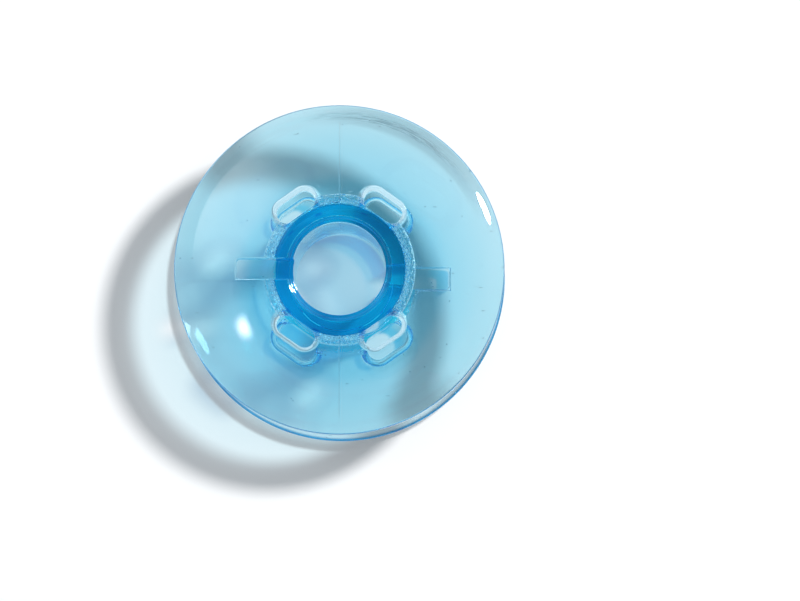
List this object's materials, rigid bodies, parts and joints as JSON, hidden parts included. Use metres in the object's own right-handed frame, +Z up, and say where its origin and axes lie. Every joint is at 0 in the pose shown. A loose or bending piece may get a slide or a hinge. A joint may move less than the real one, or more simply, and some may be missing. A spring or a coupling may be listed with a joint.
{
  "type": "sewing machine bobbin",
  "caption": "Moulded clear blue plastic bobbin: domed flanges on a hollow core with a through bore for the spindle, oblong windows beside the core and a drive notch in each flange.",
  "frame": {"origin": "on the bore's axis, at the level of the lower flat ring that the bobbin stands on", "axes": "+Z up along the bore; -X towards the drive notch of the upper flange, so +X towards that of the lower flange; Y along the parting line"},
  "size_m": [0.0205, 0.0204, 0.0083],
  "materials": {
    "clear_blue_plastic": "clear, glossy, tinted blue in the mass"
  },
  "bodies": {
    "root": {"bobbin": "clear_blue_plastic"}
  },
  "joints": []
}
